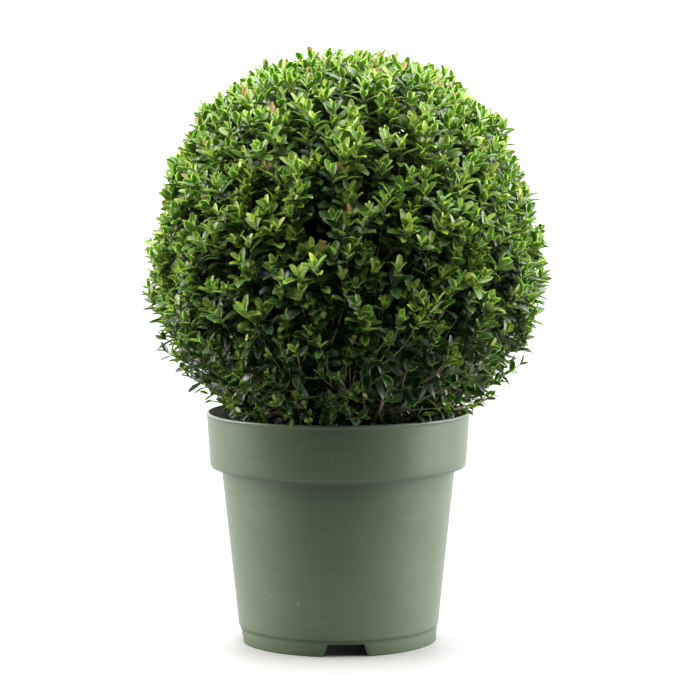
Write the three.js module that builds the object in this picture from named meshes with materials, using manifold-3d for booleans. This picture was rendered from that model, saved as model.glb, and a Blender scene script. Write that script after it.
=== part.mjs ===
// Box clipped to a ball, standing in a round nursery container of about ten litres.
// Millimetres, +Z up. The origin is on the ground, under the middle of the whole plant.
//
// The plant is a clump: a short main stem and sixteen boughs stand in the potting soil. The main stem
// and the upright boughs end under the clipped ball of foliage, and the low boughs end in the looser
// skirt of sprays that fills the space between the ball and the container's rim.

import * as THREE from "three";
import { mergeVertices } from "three/addons/utils/BufferGeometryUtils.js";
import Module from "manifold-3d";

const wasm = await Module();
wasm.setup();

const gap = 0.3; // between pieces that touch
const weld = 0.002; // corners are rounded to this, and equal ones are one
const plantSeed = 14;
const goldenAngle = Math.PI * (3 - Math.sqrt(5));

// The container. Radii are of the outside, heights are above the ground.
const pot = {
  at: -5, // of its axis, along X: the ball leans a little past the container
  sides: 40,
  height: 244,
  rimRadius: 140,
  bandHeight: 58,
  bandFootRadius: 135.8,
  bandEdge: 2.2,
  lipHeight: 3.4,
  lipProud: 0.9,
  wallTopRadius: 124.1,
  wallFootRadius: 106.4,
  footHeight: 16.8,
  footTopRadius: 105.6,
  footRadius: 104.4,
  footLedge: 0.8,
  wall: 2.4,
  footWall: 3.4,
  floorUnderside: 13.2,
  floor: 2.6,
};
const notch = {
  count: 4,
  turn: THREE.MathUtils.degToRad(4.4),
  widthBelow: 46.5,
  widthAbove: 37.5,
  height: 12.8,
};
const drain = { count: 8, radius: 6, fromAxis: 72, sides: 8 };

// The soil's level ground, where the stems stand, and its lower edge along the wall.
const soil = { level: 228, levelRadius: 104, edge: 222 };

// The outline of the clipped ball: a superellipse above its widest level, an ellipse below it.
const ball = { shift: 4, middle: 376, spread: 205, rise: 250, drop: 170, domePower: 2.3, skirtPower: 2 };
const coreDepth = 43; // how far the ball's solid core stays behind the outline
const coreDrop = 100;
const skirtTop = 300; // the ball's foliage keeps above this level and the skirt's below it

// Stems. Radii in pairs are at the foot and at the tip.
const mainStem = { foot: 8.8, tip: 7, flare: 4.6, flareHeight: 9, top: 252, sides: 10, steps: 5 };
const upright = { count: 8, footAt: 36, tipAt: 80, below: 4, radii: [5.4, 4], sides: 7, steps: 4 };
const low = { count: 8, footAt: 82, tipAt: 120, tipHeight: 257, radii: [3.6, 2.6], sides: 6, steps: 4 };

// Foliage.
const leaf = { length: 46, width: 27, thickness: 3, sunk: 1.6, lean: 0.88 };
const shoot = {
  count: 96,
  length: 60,
  behind: 22,
  radii: [2.4, 1.2],
  pairs: 2,
  firstPair: 0.5,
  lastPair: 0.9,
};
const stray = { count: 8, beyond: 7 };
const spray = {
  twigs: 4,
  spreadAngle: 0.17,
  behind: 20,
  radii: [2.4, 1.2],
  pairs: 2,
  firstPair: 0.48,
  lastPair: 0.92,
};

const up = new THREE.Vector3(0, 0, 1);
const ballMiddle = new THREE.Vector3(ball.shift, 0, ball.middle);
const heart = new THREE.Vector3(ball.shift / 2, 0, soil.level + 40); // where the shoots seem to come from

// A repeatable number from 0 to 1 for thing number i and purpose k.
function chance(i, k) {
  const s = Math.sin(i * 127.1 + k * 311.7 + plantSeed) * 43758.5453;
  return s - Math.floor(s);
}

const around = (radius, angle, z) => new THREE.Vector3(radius * Math.cos(angle), radius * Math.sin(angle), z);
const inPot = (radius, angle, z) => around(radius, angle, z).add(new THREE.Vector3(pot.at, 0, 0));

// How far a superellipse body reaches from its middle along a unit direction.
function reachOf(direction, spread, rise, drop) {
  const above = direction.z >= 0;
  const power = above ? ball.domePower : ball.skirtPower;
  const side = Math.hypot(direction.x, direction.y) / spread;
  const height = Math.abs(direction.z) / (above ? rise : drop);
  return Math.pow(Math.pow(side, power) + Math.pow(height, power), -1 / power);
}
const outline = (direction) => reachOf(direction, ball.spread, ball.rise, ball.drop);
const coreOutline = (direction) =>
  reachOf(direction, ball.spread - coreDepth, ball.rise - coreDepth, coreDrop);

function within(point, outlineOf, margin) {
  const offset = point.clone().sub(ballMiddle);
  const distance = offset.length();
  return distance + margin < outlineOf(offset.divideScalar(distance));
}

// Solids from geometry.

function solidOf(geometry) {
  const bare = geometry.clone();
  bare.deleteAttribute("normal");
  bare.deleteAttribute("uv");
  const merged = mergeVertices(bare, weld / 4);
  const solid = new wasm.Manifold(
    new wasm.Mesh({
      numProp: 3,
      vertProperties: new Float32Array(merged.attributes.position.array),
      triVerts: new Uint32Array(merged.index.array),
    }),
  );
  return solid;
}

// The pieces fused into one body, its sealed hollows filled and loose scraps dropped. Welding corners that
// all but touch can close off another hollow, so the second pass drops those too.
function fused(solids) {
  let whole = wasm.Manifold.union(solids).simplify(0.05);
  for (let pass = 0; pass < 2; pass++) {
    const bodies = solidOf(geometryOf(whole)).decompose();
    whole = bodies.reduce((largest, body) => (body.volume() > largest.volume() ? body : largest));
  }
  return whole;
}

function geometryOf(solid) {
  const mesh = solid.getMesh();
  const geometry = new THREE.BufferGeometry();
  const corners = new Float32Array(mesh.vertProperties).map((value) => Math.round(value / weld) * weld);
  geometry.setAttribute("position", new THREE.BufferAttribute(corners, 3));
  geometry.setIndex(new THREE.BufferAttribute(new Uint32Array(mesh.triVerts), 1));
  geometry.computeVertexNormals();
  return geometry;
}

// A profile of [radius, height] points turned about the Z axis.
function turned(profile, sides) {
  const points = profile.map(([radius, height]) => new THREE.Vector2(radius, height));
  return new THREE.LatheGeometry(points, sides).rotateX(Math.PI / 2);
}

// A tapering round limb: a cylinder whose rings are carried along a curve.
function limb(curve, radiusAt, sides, steps) {
  const geometry = new THREE.CylinderGeometry(1, 1, 1, sides, steps).toNonIndexed();
  const position = geometry.attributes.position;
  const frames = curve.computeFrenetFrames(steps);
  const vertex = new THREE.Vector3();
  for (let i = 0; i < position.count; i++) {
    vertex.fromBufferAttribute(position, i);
    const t = THREE.MathUtils.clamp(vertex.y + 0.5, 0, 1);
    const ring = Math.round(t * steps);
    const place = curve.getPointAt(t);
    place.addScaledVector(frames.binormals[ring], vertex.x * radiusAt(t));
    place.addScaledVector(frames.normals[ring], vertex.z * radiusAt(t));
    position.setXYZ(i, place.x, place.y, place.z);
  }
  return geometry;
}

const taper = ([foot, tip]) => (t) => foot + (tip - foot) * t;

// Container and soil.

function potSolid() {
  const bandFoot = pot.height - pot.bandHeight;
  const rimInner = pot.rimRadius - pot.lipProud - pot.wall;
  const profile = [
    [0, pot.floorUnderside],
    [pot.footRadius - pot.footWall, pot.floorUnderside],
    [pot.footRadius - pot.footWall, 0],
    [pot.footRadius, 0],
    [pot.footTopRadius, pot.footHeight],
    [pot.wallFootRadius, pot.footHeight + pot.footLedge],
    [pot.wallTopRadius, bandFoot],
    [pot.bandFootRadius - pot.bandEdge, bandFoot - 0.6],
    [pot.bandFootRadius, bandFoot + pot.bandEdge],
    [pot.rimRadius - pot.lipProud, pot.height - pot.lipHeight],
    [pot.rimRadius, pot.height - 0.72 * pot.lipHeight],
    [pot.rimRadius, pot.height - 0.3 * pot.lipHeight],
    [pot.rimRadius - 1.1, pot.height],
    [rimInner + 0.5, pot.height],
    [rimInner, pot.height - 1],
    [pot.bandFootRadius - pot.wall, bandFoot + pot.wall + 1],
    [pot.wallTopRadius - pot.wall, bandFoot],
    [pot.wallFootRadius - pot.wall, pot.floorUnderside + pot.floor],
    [0, pot.floorUnderside + pot.floor],
  ];
  let solid = solidOf(turned(profile, pot.sides));
  const opening = new THREE.Shape([
    new THREE.Vector2(-notch.widthBelow / 2, -1),
    new THREE.Vector2(notch.widthBelow / 2, -1),
    new THREE.Vector2(notch.widthAbove / 2, notch.height),
    new THREE.Vector2(-notch.widthAbove / 2, notch.height),
  ]);
  for (let i = 0; i < notch.count; i++) {
    const cutter = new THREE.ExtrudeGeometry(opening, { depth: 24, bevelEnabled: false })
      .rotateX(Math.PI / 2)
      .translate(0, -pot.footRadius + 16, 0)
      .rotateZ(notch.turn + (i * 2 * Math.PI) / notch.count);
    solid = solid.subtract(solidOf(cutter));
  }
  for (let i = 0; i < drain.count; i++) {
    const angle = notch.turn + ((i + 0.5) * 2 * Math.PI) / drain.count;
    const cutter = new THREE.CylinderGeometry(drain.radius, drain.radius, 4 * pot.floor, drain.sides)
      .rotateX(Math.PI / 2)
      .translate(drain.fromAxis * Math.cos(angle), drain.fromAxis * Math.sin(angle), pot.floorUnderside);
    solid = solid.subtract(solidOf(cutter));
  }
  return solid;
}

function soilSolid() {
  const bandFoot = pot.height - pot.bandHeight;
  const floorTop = pot.floorUnderside + pot.floor;
  const inset = pot.wall + 2 * gap;
  const bandSlope = (pot.rimRadius - pot.bandFootRadius) / pot.bandHeight;
  const edgeRadius = pot.bandFootRadius - inset - 1 + (soil.edge - bandFoot) * bandSlope;
  const profile = [
    [0, floorTop + gap],
    [pot.wallFootRadius - inset, floorTop + gap],
    [pot.wallTopRadius - inset, bandFoot],
    [pot.bandFootRadius - inset - 1, bandFoot + pot.wall + 2],
    [edgeRadius, soil.edge],
    [soil.levelRadius, soil.level],
    [0, soil.level],
  ];
  return solidOf(turned(profile, pot.sides));
}

// Stems.

function mainStemCurve() {
  return new THREE.QuadraticBezierCurve3(
    inPot(0, 0, soil.level + gap),
    inPot(2, 2.2, (soil.level + mainStem.top) / 2),
    new THREE.Vector3(ball.shift, 0, mainStem.top),
  );
}

function mainStemSolid() {
  const curve = mainStemCurve();
  const height = mainStem.top - soil.level;
  const radiusAt = (t) => {
    const flare = mainStem.flare * Math.exp((-t * height) / mainStem.flareHeight);
    return mainStem.foot + (mainStem.tip - mainStem.foot) * t + flare;
  };
  const stem = levelled(limb(curve, radiusAt, mainStem.sides, mainStem.steps));
  return stem.trimByPlane([0, 0, -1], -mainStem.top);
}

// The underside of the ball's core at a distance and angle from the container's axis.
function coreUnderside(radius, angle) {
  const place = around(radius, angle, 0);
  const side = Math.hypot(place.x - ball.shift, place.y) / (ball.spread - coreDepth);
  return ball.middle - coreDrop * Math.sqrt(1 - side * side);
}

function uprightCurve(i) {
  const angle = ((i + 0.35 * (chance(i, 1) - 0.5)) * 2 * Math.PI) / upright.count;
  const footAt = upright.footAt * (0.85 + 0.4 * chance(i, 2));
  const tipAt = upright.tipAt * (0.9 + 0.2 * chance(i, 3));
  const tipHeight = coreUnderside(tipAt, angle) - upright.below;
  return new THREE.QuadraticBezierCurve3(
    inPot(footAt, angle, soil.level + gap),
    around(footAt + 0.3 * (tipAt - footAt), angle + 0.06, soil.level + 0.55 * (tipHeight - soil.level)),
    around(tipAt, angle, tipHeight),
  );
}

const lowAngle = (i) => ((i + 0.5 + 0.2 * (chance(i, 4) - 0.5)) * 2 * Math.PI) / low.count;

function lowCurve(i) {
  const angle = lowAngle(i);
  const footAt = low.footAt * (0.92 + 0.16 * chance(i, 5));
  return new THREE.QuadraticBezierCurve3(
    inPot(footAt, angle, soil.level + gap),
    around(footAt + 0.35 * (low.tipAt - footAt), angle, soil.level + 0.75 * (low.tipHeight - soil.level)),
    around(low.tipAt, angle, low.tipHeight),
  );
}

// Cuts a limb flat at the soil, where its tilted first ring would dip under it.
function levelled(geometry) {
  return solidOf(geometry).trimByPlane([0, 0, 1], soil.level + gap);
}

// Foliage.

// One leaf: a long octahedron from its root to its tip, wide across and thin through.
function leafSolid(root, along, face, length, width) {
  const side = new THREE.Vector3().crossVectors(face, along).normalize();
  const normal = new THREE.Vector3().crossVectors(side, along).normalize();
  const middle = root.clone().addScaledVector(along, length / 2);
  const basis = new THREE.Matrix4().makeBasis(
    side.multiplyScalar(width / 2),
    along.clone().multiplyScalar(length / 2),
    normal.multiplyScalar(leaf.thickness / 2),
  );
  basis.setPosition(middle);
  const geometry = new THREE.OctahedronGeometry(1).applyMatrix4(basis);
  return { solid: solidOf(geometry), points: pointsOf(geometry) };
}

function pointsOf(geometry) {
  const position = geometry.attributes.position;
  const pointAt = (_, i) => new THREE.Vector3().fromBufferAttribute(position, i);
  return Array.from({ length: position.count }, pointAt);
}

// A twig with opposite pairs of leaves, each pair turned a quarter from the last, and a leaf at its tip.
// keeps(points) says whether a leaf stays in the space of its mass.
function leafyTwig(curve, number, options, keeps) {
  const solids = [solidOf(limb(curve, taper(options.radii), 3, 2))];
  for (let pair = 0; pair < options.pairs; pair++) {
    const t = options.firstPair + ((options.lastPair - options.firstPair) * pair) / (options.pairs - 1);
    const place = curve.getPointAt(t);
    const axis = curve.getTangentAt(t);
    const across = new THREE.Vector3().crossVectors(axis, up).normalize();
    across.applyAxisAngle(axis, (pair * Math.PI) / 2 + (chance(number, 10) - 0.5) * 1.6);
    const length = leaf.length * (1 - 0.12 * pair) * (0.9 + 0.2 * chance(number, 20 + pair));
    const lean = leaf.lean * (1 - 0.16 * pair);
    for (const sideways of [1, -1]) {
      const along = axis.clone().multiplyScalar(Math.cos(lean));
      along.addScaledVector(across, sideways * Math.sin(lean)).normalize();
      const root = place.clone().addScaledVector(along, -leaf.sunk);
      const made = leafSolid(root, along, axis, length, (leaf.width / leaf.length) * length);
      if (keeps(made.points)) solids.push(made.solid);
    }
  }
  return solids;
}

function ballSolid() {
  const core = new THREE.IcosahedronGeometry(1, 3);
  const position = core.attributes.position;
  const direction = new THREE.Vector3();
  for (let i = 0; i < position.count; i++) {
    direction.fromBufferAttribute(position, i).normalize();
    direction.multiplyScalar(coreOutline(direction)).add(ballMiddle);
    position.setXYZ(i, direction.x, direction.y, direction.z);
  }
  const solids = [solidOf(core)];
  const stem = new THREE.LineCurve3(
    new THREE.Vector3(ball.shift, 0, mainStem.top + gap),
    new THREE.Vector3(ball.shift, 0, ball.middle),
  );
  solids.push(solidOf(limb(stem, taper([mainStem.tip, mainStem.tip * 0.9]), mainStem.sides, 1)));
  const keeps = (points) => points.every((p) => p.z > skirtTop + gap && within(p, outline, -4));
  for (let i = 0; i < shoot.count; i++) {
    const direction = evenDirection(i, shoot.count);
    const reach = outline(direction) - shoot.behind - 5 * chance(i, 8);
    const tip = ballMiddle.clone().addScaledVector(direction, reach);
    if (tip.z > skirtTop + 16) solids.push(...leafyTwig(shootTo(tip), i, shoot, keeps));
  }
  const anywhere = () => true;
  for (let i = 0; i < stray.count; i++) {
    const direction = around(1, (i * 2 * Math.PI) / stray.count, -0.2 * chance(i, 9)).normalize();
    const reach = outline(direction) - shoot.behind + stray.beyond;
    const tip = ballMiddle.clone().addScaledVector(direction, reach);
    solids.push(...leafyTwig(shootTo(tip), 900 + i, shoot, anywhere));
  }
  return fused(solids);
}

// The golden angle spreads the tips of the shoots evenly over the ball.
function evenDirection(i, count) {
  const z = 1 - (2 * (i + 0.5)) / count;
  const angle = i * goldenAngle + 0.5 * (chance(i, 7) - 0.5);
  const flat = Math.sqrt(1 - z * z);
  return new THREE.Vector3(flat * Math.cos(angle), flat * Math.sin(angle), z);
}

// A shoot comes out of the core, growing away from the heart of the plant and bending a little upwards.
function shootTo(tip) {
  const away = tip.clone().sub(heart).normalize();
  const foot = tip.clone().addScaledVector(away, -shoot.length);
  while (!within(foot, coreOutline, 6)) foot.addScaledVector(ballMiddle.clone().sub(foot).normalize(), 3);
  const bend = foot.clone().lerp(tip, 0.5).addScaledVector(up, -4);
  return new THREE.QuadraticBezierCurve3(foot, bend, tip);
}

// A loose spray on low bough i: one stem that forks into twigs, kept in its own eighth of the skirt.
function spraySolid(i) {
  const angle = lowAngle(i);
  const half = Math.PI / low.count;
  const keeps = (points) =>
    points.every((p) => {
      let turn = Math.atan2(p.y, p.x) - sprayMiddle(i);
      turn = Math.atan2(Math.sin(turn), Math.cos(turn));
      const clearOfNext = Math.hypot(p.x, p.y) * Math.sin(half - Math.abs(turn)) > 2 * gap;
      const clearOfRest = p.z > pot.height + 1.5 && p.z < skirtTop && !within(p, coreOutline, -2);
      return clearOfNext && clearOfRest && within(p, outline, -4);
    });
  const from = lowCurve(i);
  const tangent = from.getTangentAt(1);
  const foot = from.getPointAt(1).addScaledVector(tangent, gap);
  const solids = [];
  const forkAt = foot.clone().addScaledVector(tangent, 14);
  const stem = new THREE.LineCurve3(foot, forkAt.clone().addScaledVector(tangent, 2));
  solids.push(solidOf(limb(stem, taper([low.radii[1], 2]), 5, 1)));
  for (let twig = 0; twig < spray.twigs; twig++) {
    const turn = angle + (twig - (spray.twigs - 1) / 2) * spray.spreadAngle;
    const endHeight = skirtTop - (twig % 2 ? 34 : 14) - 6 * chance(i * 7 + twig, 12);
    const end = around(outlineRadius(endHeight) - spray.behind, turn, endHeight);
    const bend = forkAt.clone().lerp(end, 0.5).addScaledVector(up, -3);
    const curve = new THREE.QuadraticBezierCurve3(forkAt, bend, end);
    solids.push(...leafyTwig(curve, 500 + i * 7 + twig, spray, keeps));
  }
  return fused(solids);
}

// The outline's radius at a height below its widest level.
function outlineRadius(height) {
  const side = (height - ball.middle) / ball.drop;
  return ball.spread * Math.sqrt(1 - side * side);
}

const sprayMiddle = (i) => ((i + 0.5) * 2 * Math.PI) / low.count;

// The plant.

const colours = {
  sageGreenPlastic: new THREE.MeshStandardMaterial({ color: 0x75836b, roughness: 0.5, metalness: 0 }),
  pottingSoil: new THREE.MeshStandardMaterial({ color: 0x2b211a, roughness: 0.95, metalness: 0 }),
  boxBark: new THREE.MeshStandardMaterial({ color: 0x8a7a5c, roughness: 0.85, metalness: 0 }),
  boxLeaf: new THREE.MeshStandardMaterial({ color: 0x4f7a2f, roughness: 0.45, metalness: 0 }),
};

const plant = new THREE.Group();

function place(name, solid, material) {
  const mesh = new THREE.Mesh(geometryOf(solid), material);
  mesh.name = name;
  plant.add(mesh);
}

place("pot", potSolid().translate([pot.at, 0, 0]), colours.sageGreenPlastic);
place("potting_soil", soilSolid().translate([pot.at, 0, 0]), colours.pottingSoil);
place("main_stem", mainStemSolid(), colours.boxBark);
for (let i = 0; i < upright.count; i++) {
  const solid = levelled(limb(uprightCurve(i), taper(upright.radii), upright.sides, upright.steps));
  place(`upright_bough_${i + 1}`, solid, colours.boxBark);
}
for (let i = 0; i < low.count; i++) {
  const solid = levelled(limb(lowCurve(i), taper(low.radii), low.sides, low.steps));
  place(`low_bough_${i + 1}`, solid, colours.boxBark);
}
place("foliage_ball", ballSolid(), colours.boxLeaf);
for (let i = 0; i < low.count; i++) place(`skirt_spray_${i + 1}`, spraySolid(i), colours.boxLeaf);

export default plant;
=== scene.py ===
import math
import bpy
import numpy as np
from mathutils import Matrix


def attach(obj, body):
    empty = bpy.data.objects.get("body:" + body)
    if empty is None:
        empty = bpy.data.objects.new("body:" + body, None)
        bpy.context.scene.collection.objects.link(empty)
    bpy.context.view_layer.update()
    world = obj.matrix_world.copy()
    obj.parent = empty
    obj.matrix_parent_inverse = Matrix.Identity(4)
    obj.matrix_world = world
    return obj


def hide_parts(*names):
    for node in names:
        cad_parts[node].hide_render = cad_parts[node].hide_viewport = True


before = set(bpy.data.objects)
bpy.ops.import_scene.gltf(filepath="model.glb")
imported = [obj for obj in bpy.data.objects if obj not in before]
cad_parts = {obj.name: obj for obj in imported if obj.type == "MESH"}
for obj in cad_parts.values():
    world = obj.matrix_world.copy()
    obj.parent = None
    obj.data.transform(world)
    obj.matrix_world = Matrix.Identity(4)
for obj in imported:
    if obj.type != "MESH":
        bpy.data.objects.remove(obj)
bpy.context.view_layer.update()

mm = 0.001


def report(stage):
    print("box ball:", stage)


# Numbers the plant grows from, the same as its solids have.

plantSeed = 14
goldenAngle = math.pi * (3 - math.sqrt(5))
soilLevel = 228.0
upAxis = np.array([0.0, 0.0, 1.0])

potAt = np.array([-5.0, 0.0, 0.0])  # the container's axis; the ball leans a little past it

ball = {"middle": np.array([4.0, 0.0, 376.0]), "spread": 205.0, "rise": 250.0, "drop": 170.0,
        "domePower": 2.3, "skirtPower": 2.0}


def chance(i, k):
    # A repeatable number from 0 to 1 for thing i and purpose k: the fraction of a large multiple of a sine.
    s = np.sin(np.asarray(i, float) * 127.1 + k * 311.7 + plantSeed) * 43758.5453
    return s - np.floor(s)


def mixTo(pair, share):
    return pair[0] + (pair[1] - pair[0]) * share


def fade(value, start, end):
    # From 0 at start to 1 at end, and level beyond them.
    return np.clip((value - start) / (end - start), 0, 1)


def lengthOf(v):
    return np.linalg.norm(v, axis=-1, keepdims=True)


def unit(v):
    return v / np.maximum(lengthOf(v), 1e-9)


def around(radius, angle, z):
    # A point at a radius, turn and height; arrays give many.
    return np.stack(np.broadcast_arrays(radius * np.cos(angle), radius * np.sin(angle), z), -1).astype(float)


def outlineRadius(z):
    # Radius of the clipped outline at a height: a superellipse above the widest level, an ellipse below it.
    h = np.asarray(z, float) - ball["middle"][2]
    power = np.where(h >= 0, ball["domePower"], ball["skirtPower"])
    high = np.where(h >= 0, ball["rise"], ball["drop"])
    return ball["spread"] * np.clip(1 - np.clip(np.abs(h) / high, 0, 1) ** power, 0, 1) ** (1 / power)


def evenOutline(count, lowest, seedOffset=0):
    # Points spread evenly by area over the outline from height lowest up: heights from the running sum of
    # circumference times slope length, and turns by the golden angle. The steps grow finer over the cap.
    top, cap = ball["middle"][2] + ball["rise"], 26.0
    z = np.concatenate([np.linspace(lowest, top - cap, 800), top - cap * np.linspace(1, 0, 400) ** 2])
    r = outlineRadius(z)
    step = np.hypot(np.diff(r), np.diff(z)) * (r[1:] + r[:-1]) / 2
    area = np.concatenate([[0], np.cumsum(step)])
    i = np.arange(count)
    height = np.interp((i + 0.2 + 0.6 * chance(i, 40 + seedOffset)) / count * area[-1], area, z)
    turn = i * goldenAngle + 0.35 * (chance(i, 41 + seedOffset) - 0.5)
    radius = outlineRadius(height)
    return np.stack([ball["middle"][0] + radius * np.cos(turn), radius * np.sin(turn), height], 1)


# Meshes from arrays.

def addObject(name, data):
    made = bpy.data.objects.new(name, data)
    bpy.context.scene.collection.objects.link(made)
    return made


def putMesh(name, vertices, faces, materials, faceMaterial=None, uv=None, smooth=True, sharpPairs=None):
    # Vertices in millimetres; faces as rows of corner numbers. sharpPairs holds a table of the template's
    # sharp edges and how many points one template has.
    mesh = bpy.data.meshes.new(name)
    corners = faces.shape[1]
    mesh.vertices.add(len(vertices))
    mesh.vertices.foreach_set("co", (np.asarray(vertices, np.float32) * mm).ravel())
    mesh.loops.add(faces.size)
    mesh.loops.foreach_set("vertex_index", faces.astype(np.int32).ravel())
    mesh.polygons.add(len(faces))
    mesh.polygons.foreach_set("loop_start", np.arange(0, faces.size, corners, dtype=np.int32))
    mesh.update(calc_edges=True)
    for material in materials:
        mesh.materials.append(material)
    if faceMaterial is not None:
        mesh.polygons.foreach_set("material_index", faceMaterial.astype(np.int32))
    if uv is not None:
        layer = mesh.uv_layers.new(name="own")
        layer.data.foreach_set("uv", uv.astype(np.float32).ravel())
    if smooth:
        mesh.shade_smooth()
    if sharpPairs is not None:
        table, size = sharpPairs
        ends = np.empty(len(mesh.edges) * 2, np.int32)
        mesh.edges.foreach_get("vertices", ends)
        ends = ends.reshape(-1, 2) % size
        mesh.edges.foreach_set("use_edge_sharp", table[ends[:, 0], ends[:, 1]])
    mesh.validate()
    piece = addObject(name, mesh)
    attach(piece, "root")
    return piece


def curveAt(curve, t):
    # Quadratic Bezier: (1-t)^2 foot + 2t(1-t) bend + t^2 tip, for many curves and many t at once.
    foot, bend, tip = curve
    t = t[..., None]
    return (1 - t) ** 2 * foot[:, None] + 2 * t * (1 - t) * bend[:, None] + t ** 2 * tip[:, None]


def curveAlong(curve, t):
    # Its direction: the derivative, 2(1-t)(bend-foot) + 2t(tip-bend), made of length one.
    foot, bend, tip = curve
    t = t[..., None]
    return unit((1 - t) * (bend - foot)[:, None] + t * (tip - bend)[:, None])


def ringFaces(rows, columns):
    # Triangles between rings of points laid one after another, with the first and the last ring closed to a
    # point each; these two points are numbered after all the rings.
    r, c = np.meshgrid(np.arange(rows - 1), np.arange(columns), indexing="ij")
    a, b = r * columns + c, r * columns + (c + 1) % columns
    side = np.stack([a, b, b + columns, a, b + columns, a + columns], -1).reshape(-1, 3)
    k = np.arange(columns)
    n = (k + 1) % columns
    last = (rows - 1) * columns
    pole = np.full(columns, rows * columns)
    return np.concatenate([side, np.stack([pole, n, k], 1), np.stack([pole + 1, last + k, last + n], 1)])


def tubes(curve, radii, sides, rings, relief=None):
    # A profile of a few sides carried along each curve; radii, at the foot and at the tip, are one for all
    # or one for each, and both ends are closed. relief(around, along) scales the radius for bark.
    count = len(curve[0])
    t = np.broadcast_to(np.linspace(0, 1, rings), (count, rings))
    centre = curveAt(curve, t)
    along = curveAlong(curve, t)
    chord = unit(curve[2] - curve[0])
    helper = np.where(np.abs(chord[:, 2:3]) > 0.9, np.array([[1.0, 0, 0]]), upAxis[None])
    across = unit(np.cross(chord, helper))[:, None]
    first = unit(across - np.sum(across * along, -1, keepdims=True) * along)
    second = np.cross(along, first)
    angle = np.arange(sides) * 2 * math.pi / sides
    foot, tip = (np.broadcast_to(radius, (count,))[:, None] for radius in radii)
    radius = np.broadcast_to((foot + (tip - foot) * t)[..., None], (count, rings, sides))
    if relief is not None:
        radius = radius * relief(angle, t)
    outward = np.cos(angle)[:, None] * first[:, :, None] + np.sin(angle)[:, None] * second[:, :, None]
    ring = centre[:, :, None] + radius[..., None] * outward
    ends = np.stack([centre[:, 0], centre[:, -1] + along[:, -1] * radius[:, -1, :1] * 0.8], 1)
    vertices = np.concatenate([ring.reshape(count, -1, 3), ends], 1)
    faces = ringFaces(rings, sides)[None] + (np.arange(count) * vertices.shape[1])[:, None, None]
    return vertices.reshape(-1, 3), faces.reshape(-1, 3)


def joined(parts):
    # Several (vertices, faces) sets as one.
    vertices, faces, start = [], [], 0
    for v, f in parts:
        vertices.append(v)
        faces.append(f + start)
        start += len(v)
    return np.concatenate(vertices), np.concatenate(faces)


# Materials.

def linear(hexColour):
    # sRGB hex to the linear values that Blender's sockets hold.
    channels = [int(hexColour[i:i + 2], 16) / 255 for i in (1, 3, 5)]
    return tuple(c / 12.92 if c <= 0.04045 else ((c + 0.055) / 1.055) ** 2.4 for c in channels) + (1.0,)


def lifted(colour, times, plus=0.0):
    return tuple(c * times + plus for c in colour[:3]) + (1.0,)


def addNode(tree, kind, settings=None, links=None):
    # Adds one shader node; settings are its properties or, by socket name or number, its values, and links
    # feed its sockets, each from an output or from a node's first output.
    node = tree.nodes.new("ShaderNode" + kind)
    for key, value in (settings or {}).items():
        if isinstance(key, int) or key in node.inputs:
            node.inputs[key].default_value = value
        else:
            setattr(node, key, value)
    for key, source in (links or {}).items():
        tree.links.new(source.outputs[0] if hasattr(source, "outputs") else source, node.inputs[key])
    return node


def spanned(source, target=(0.0, 1.0)):
    # Settings of a node that carries one range to another.
    return dict(zip(("From Min", "From Max", "To Min", "To Max"), source + target))


def newMaterial(name):
    material = bpy.data.materials.new(name)
    material.use_nodes = True
    tree = material.node_tree
    tree.nodes.clear()
    return material, tree


def finishMaterial(tree, settings, links):
    surface = addNode(tree, "BsdfPrincipled", settings, links)
    addNode(tree, "OutputMaterial", None, {"Surface": surface})


def ramp(tree, source, stops):
    node = addNode(tree, "ValToRGB", None, {"Fac": source})
    elements = node.color_ramp.elements
    elements[0].position, elements[0].color = stops[0][0], stops[0][1]
    elements[1].position, elements[1].color = stops[-1][0], stops[-1][1]
    for place, colour in stops[1:-1]:
        element = elements.new(place)
        element.color = colour
    return node


# Box leaf, fresh from the plant: a leathery blade under a wax layer, so it shows a soft white gloss on a
# plain green. The midrib is a fine paler line, and the edge is a little paler too. Glow is the light that
# passes into a blade and out of its other face.
leafTones = {
    "yellowTip": {"colour": "#a8ad48", "rough": 0.44},
    "limeTip": {"colour": "#8e9f3e", "rough": 0.42},
    "freshTip": {"colour": "#7f943b", "rough": 0.40},
    "bronzeTip": {"colour": "#8a6f3c", "rough": 0.50},
    "brightLeaf": {"colour": "#65842c", "rough": 0.38},
    "greenLeaf": {"colour": "#4b6927", "rough": 0.36},
    "deepLeaf": {"colour": "#314b23", "rough": 0.34},
    "blueLeaf": {"colour": "#2b4631", "rough": 0.34},
    # A near-black tone for leaves deep inside the plant and old leaves low on the ball: painted shade.
    "paintedShadeLeaf": {"colour": "#1a2a17", "rough": 0.40},
    "paleBack": {"colour": "#7f934a", "rough": 0.55},
    "deepBack": {"colour": "#42582f", "rough": 0.55},
}
leafLook = {"ribLift": (1.35, 0.008), "edgeLift": (1.18, 0.004), "cloudScale": 160.0,
            "cloudTo": (0.88, 1.12), "glowShare": 0.45, "glowDepthMm": 0.7, "glowRadii": (0.55, 1.0, 0.16)}


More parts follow.
